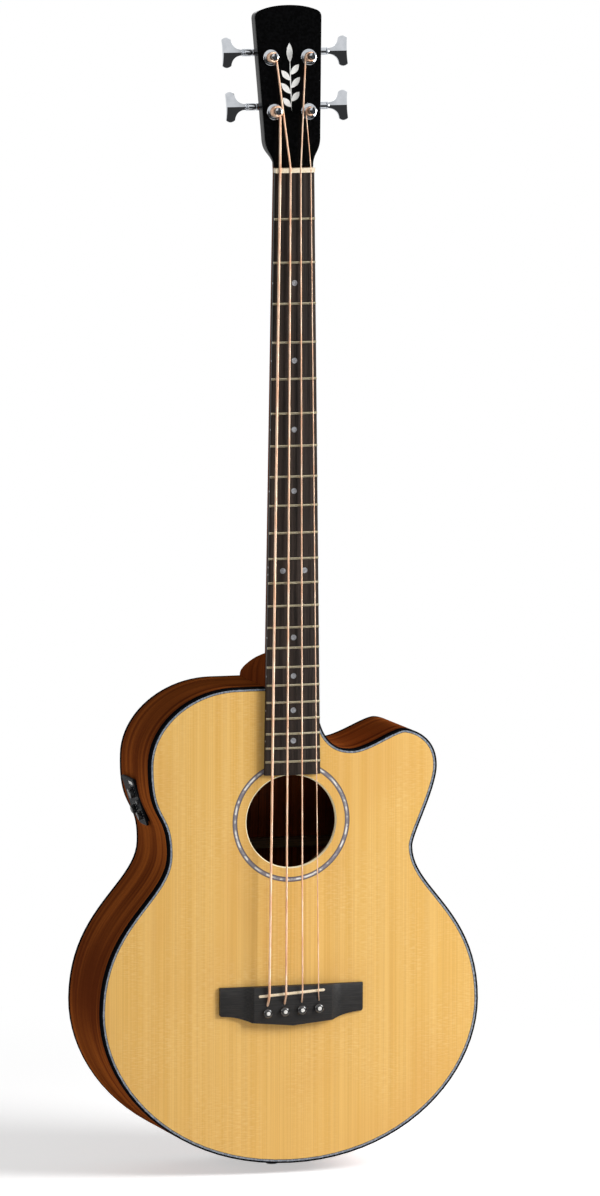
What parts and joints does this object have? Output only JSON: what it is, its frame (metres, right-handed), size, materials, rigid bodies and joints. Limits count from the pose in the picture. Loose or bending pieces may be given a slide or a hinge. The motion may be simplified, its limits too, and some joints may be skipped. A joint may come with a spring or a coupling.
{
  "type": "acoustic bass guitar",
  "caption": "Acoustic-electric bass guitar with a spruce top, mahogany back and sides, a rounded cutaway, a preamp in the bass side, turning tuners and a tilted black headstock.",
  "frame": {"origin": "centre of the strap pin's outer face at the tail", "axes": "+X to the treble side, +Y from the top to the back, +Z along the neck to the headstock"},
  "size_m": [0.4168, 0.1452, 1.2359],
  "materials": {
    "spruce": "gloss",
    "inner_spruce": "matte",
    "mahogany": "gloss",
    "block_wood": "matte",
    "black_plastic": "gloss",
    "pearl": "gloss",
    "dark_wood": "satin",
    "black_lacquer": "gloss lacquer",
    "bone": "polished",
    "chrome": "polished",
    "steel": "satin",
    "bronze": "wound",
    "black_control": "matte"
  },
  "bodies": {
    "guitar": {"soundboard": "spruce", "x_brace": "inner_spruce", "upper_brace": "inner_spruce", "tone_bar_upper": "inner_spruce", "tone_bar_lower": "inner_spruce", "back_brace_1": "inner_spruce", "back_brace_2": "inner_spruce", "back_brace_3": "inner_spruce", "back_brace_4": "inner_spruce", "neck": "mahogany", "bass_side": "mahogany", "treble_side": "mahogany", "back": "mahogany", "neck_block": "block_wood", "tail_block": "block_wood", "front_lining": "block_wood", "back_lining": "block_wood", "bridge_plate": "block_wood", "front_binding": "black_plastic", "back_binding": "black_plastic", "bridge_pin_1": "black_plastic", "bridge_pin_2": "black_plastic", "bridge_pin_3": "black_plastic", "bridge_pin_4": "black_plastic", "saddle_pickup": "black_plastic", "rosette": "pearl", "bridge": "dark_wood", "fingerboard": "dark_wood", "headplate": "black_lacquer", "nut": "bone", "saddle": "bone", "end_pin": "chrome", "output_jack": "chrome", "tuner_bushing_1": "chrome", "tuner_housing_1": "chrome", "tuner_bushing_2": "chrome", "tuner_housing_2": "chrome", "tuner_bushing_3": "chrome", "tuner_housing_3": "chrome", "tuner_bushing_4": "chrome", "tuner_housing_4": "chrome", "truss_rod": "steel", "string_1": "bronze", "string_2": "bronze", "string_3": "bronze", "string_4": "bronze", "preamp": "black_control"},
    "tuner_post_1_body": {"tuner_post_1": "chrome"},
    "tuner_post_2_body": {"tuner_post_2": "chrome"},
    "tuner_post_3_body": {"tuner_post_3": "chrome"},
    "tuner_post_4_body": {"tuner_post_4": "chrome"},
    "tuner_key_1_body": {"tuner_key_1": "chrome"},
    "tuner_key_2_body": {"tuner_key_2": "chrome"},
    "tuner_key_3_body": {"tuner_key_3": "chrome"},
    "tuner_key_4_body": {"tuner_key_4": "chrome"},
    "volume_knob_body": {"volume_knob": "black_control"},
    "bass_knob_body": {"bass_knob": "black_control"},
    "treble_knob_body": {"treble_knob": "black_control"},
    "phase_button_body": {"phase_button": "black_control"},
    "tuner_button_body": {"tuner_button": "black_control"}
  },
  "joints": [
    {"name": "key_1_turn", "type": "hinge", "parent": "guitar", "child": "tuner_key_1_body", "pos_m": [-0.03875, -0.04228, 1.12946], "axis": [-1, 0, 0], "continuous": true},
    {"name": "post_1_turn", "type": "hinge", "parent": "guitar", "child": "tuner_post_1_body", "pos_m": [-0.0188, -0.06023, 1.12486], "axis": [0, -0.9914, 0.1305], "continuous": true},
    {"name": "key_2_turn", "type": "hinge", "parent": "guitar", "child": "tuner_key_2_body", "pos_m": [-0.04065, -0.03484, 1.18597], "axis": [-1, 0, 0], "continuous": true},
    {"name": "post_2_turn", "type": "hinge", "parent": "guitar", "child": "tuner_post_2_body", "pos_m": [-0.0207, -0.05279, 1.18138], "axis": [0, -0.9914, 0.1305], "continuous": true},
    {"name": "key_3_turn", "type": "hinge", "parent": "guitar", "child": "tuner_key_3_body", "pos_m": [0.04065, -0.03484, 1.18597], "axis": [1, 0, 0], "continuous": true},
    {"name": "post_3_turn", "type": "hinge", "parent": "guitar", "child": "tuner_post_3_body", "pos_m": [0.0207, -0.05279, 1.18138], "axis": [0, -0.9914, 0.1305], "continuous": true},
    {"name": "key_4_turn", "type": "hinge", "parent": "guitar", "child": "tuner_key_4_body", "pos_m": [0.03875, -0.04228, 1.12946], "axis": [1, 0, 0], "continuous": true},
    {"name": "post_4_turn", "type": "hinge", "parent": "guitar", "child": "tuner_post_4_body", "pos_m": [0.0188, -0.06023, 1.12486], "axis": [0, -0.9914, 0.1305], "continuous": true},
    {"name": "volume_knob_turn", "type": "hinge", "parent": "guitar", "child": "volume_knob_body", "pos_m": [-0.15244, 0.00052, 0.40469], "axis": [0.9507, 0, 0.3101], "range_deg": [-135, 135]},
    {"name": "bass_knob_turn", "type": "hinge", "parent": "guitar", "child": "bass_knob_body", "pos_m": [-0.14605, 0.0135, 0.38575], "axis": [0.9507, 0, 0.3101], "range_deg": [-135, 135]},
    {"name": "treble_knob_turn", "type": "hinge", "parent": "guitar", "child": "treble_knob_body", "pos_m": [-0.14442, -0.00348, 0.38075], "axis": [0.9507, 0, 0.3101], "range_deg": [-135, 135]},
    {"name": "phase_button_press", "type": "slide", "parent": "guitar", "child": "phase_button_body", "axis": [0.9507, 0, 0.3101], "range_m": [0, 0.0012], "stiffness_N_per_m": 400},
    {"name": "tuner_button_press", "type": "slide", "parent": "guitar", "child": "tuner_button_body", "axis": [0.9507, 0, 0.3101], "range_m": [0, 0.0012], "stiffness_N_per_m": 400}
  ],
  "couplings": [
    {"joint": "post_1_turn", "follows": "key_1_turn", "ratio": -0.05},
    {"joint": "post_2_turn", "follows": "key_2_turn", "ratio": -0.05},
    {"joint": "post_3_turn", "follows": "key_3_turn", "ratio": 0.05},
    {"joint": "post_4_turn", "follows": "key_4_turn", "ratio": 0.05}
  ]
}
